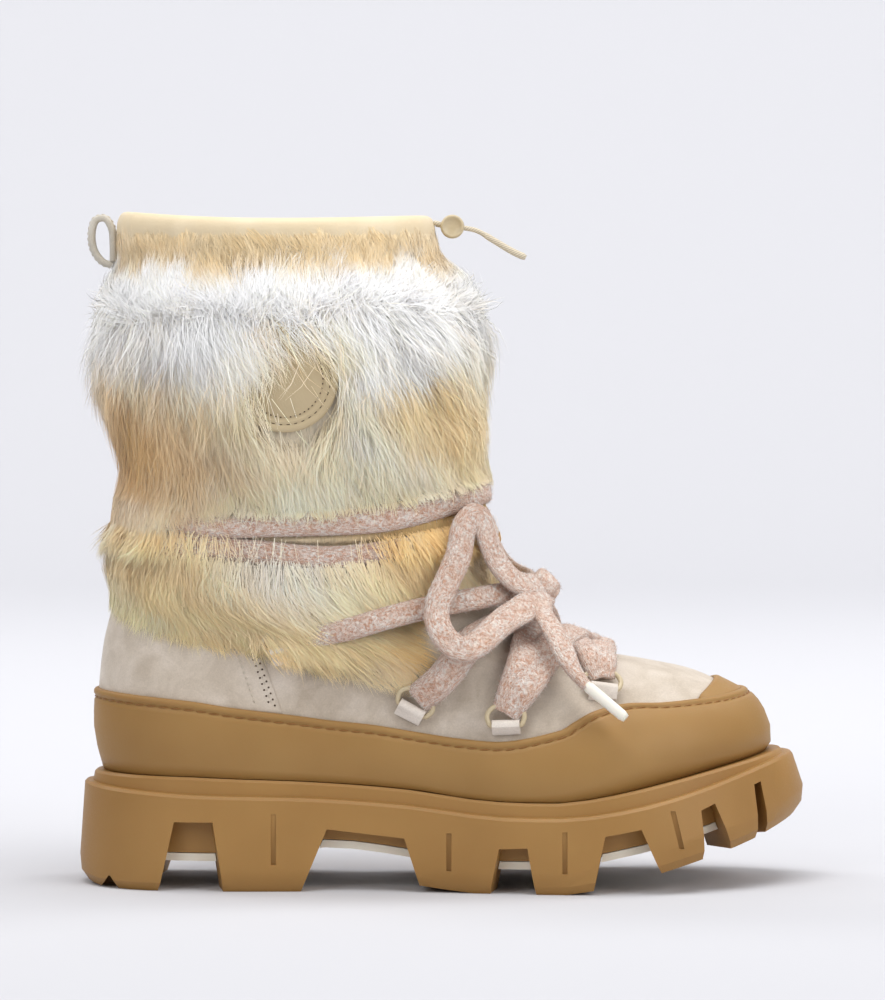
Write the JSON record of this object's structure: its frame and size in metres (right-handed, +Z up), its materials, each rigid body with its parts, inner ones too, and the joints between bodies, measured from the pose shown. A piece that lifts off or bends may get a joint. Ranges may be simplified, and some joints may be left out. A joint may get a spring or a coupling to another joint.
{
  "type": "apres ski boot",
  "caption": "Right ankle-high apres-ski boot with a fur shaft, suede foot, rubber rand, lug sole and a wool lace wound round the ankle and tied in a bow.",
  "frame": {"origin": "on the floor under the middle of the heel, 24 mm in from the sole's back edge, on the heel's flat tread", "axes": "+X to the toe, +Z up, -Y to the outer side of the foot, +Y to the inner side"},
  "size_m": [0.29, 0.1297, 0.267],
  "materials": {
    "outsole_rubber": "matt moulded rubber",
    "plate_rubber": "matt moulded rubber",
    "rand_rubber": "smooth matt rubber",
    "insole_felt": "felt",
    "suede": "suede",
    "collar_leather": "smooth leather",
    "strap_leather": "smooth leather",
    "patch_leather": "smooth leather with a punched edge",
    "shaft_fur": "long fur, pale and golden",
    "cuff_fur": "long fur, golden",
    "painted_metal": "satin paint",
    "wool": "knitted wool, flecked",
    "cord": "round cord",
    "aglet_plastic": "ivory gloss"
  },
  "bodies": {
    "root": {"outsole": "outsole_rubber", "tread_plate": "plate_rubber", "insole": "insole_felt", "upper": "suede", "rand": "rand_rubber", "toe_cap": "rand_rubber", "collar": "collar_leather", "shaft_fur": "shaft_fur", "cuff_fur": "cuff_fur", "badge": "patch_leather", "pull_loop": "strap_leather", "cord_lock": "painted_metal", "cord_strands": "cord", "draw_cord": "cord", "d_ring_toe_outer": "painted_metal", "d_ring_instep_outer": "painted_metal", "d_ring_ankle_outer": "painted_metal", "d_ring_rear_outer": "painted_metal", "d_ring_toe_inner": "painted_metal", "d_ring_instep_inner": "painted_metal", "d_ring_ankle_inner": "painted_metal", "d_ring_rear_inner": "painted_metal", "ring_tab_toe_outer": "suede", "ring_tab_instep_outer": "suede", "ring_tab_ankle_outer": "suede", "ring_tab_rear_outer": "suede", "ring_tab_toe_inner": "suede", "ring_tab_instep_inner": "suede", "ring_tab_ankle_inner": "suede", "ring_tab_rear_inner": "suede", "lace_crossings": "wool", "ankle_lace_upper": "wool", "ankle_lace_lower": "wool", "rear_lace": "wool", "lace_knot": "wool", "bow_loop_outer": "wool", "bow_loop_inner": "wool", "lace_end_outer": "wool", "lace_end_inner": "wool", "aglet_outer": "aglet_plastic", "aglet_inner": "aglet_plastic"}
  },
  "joints": []
}
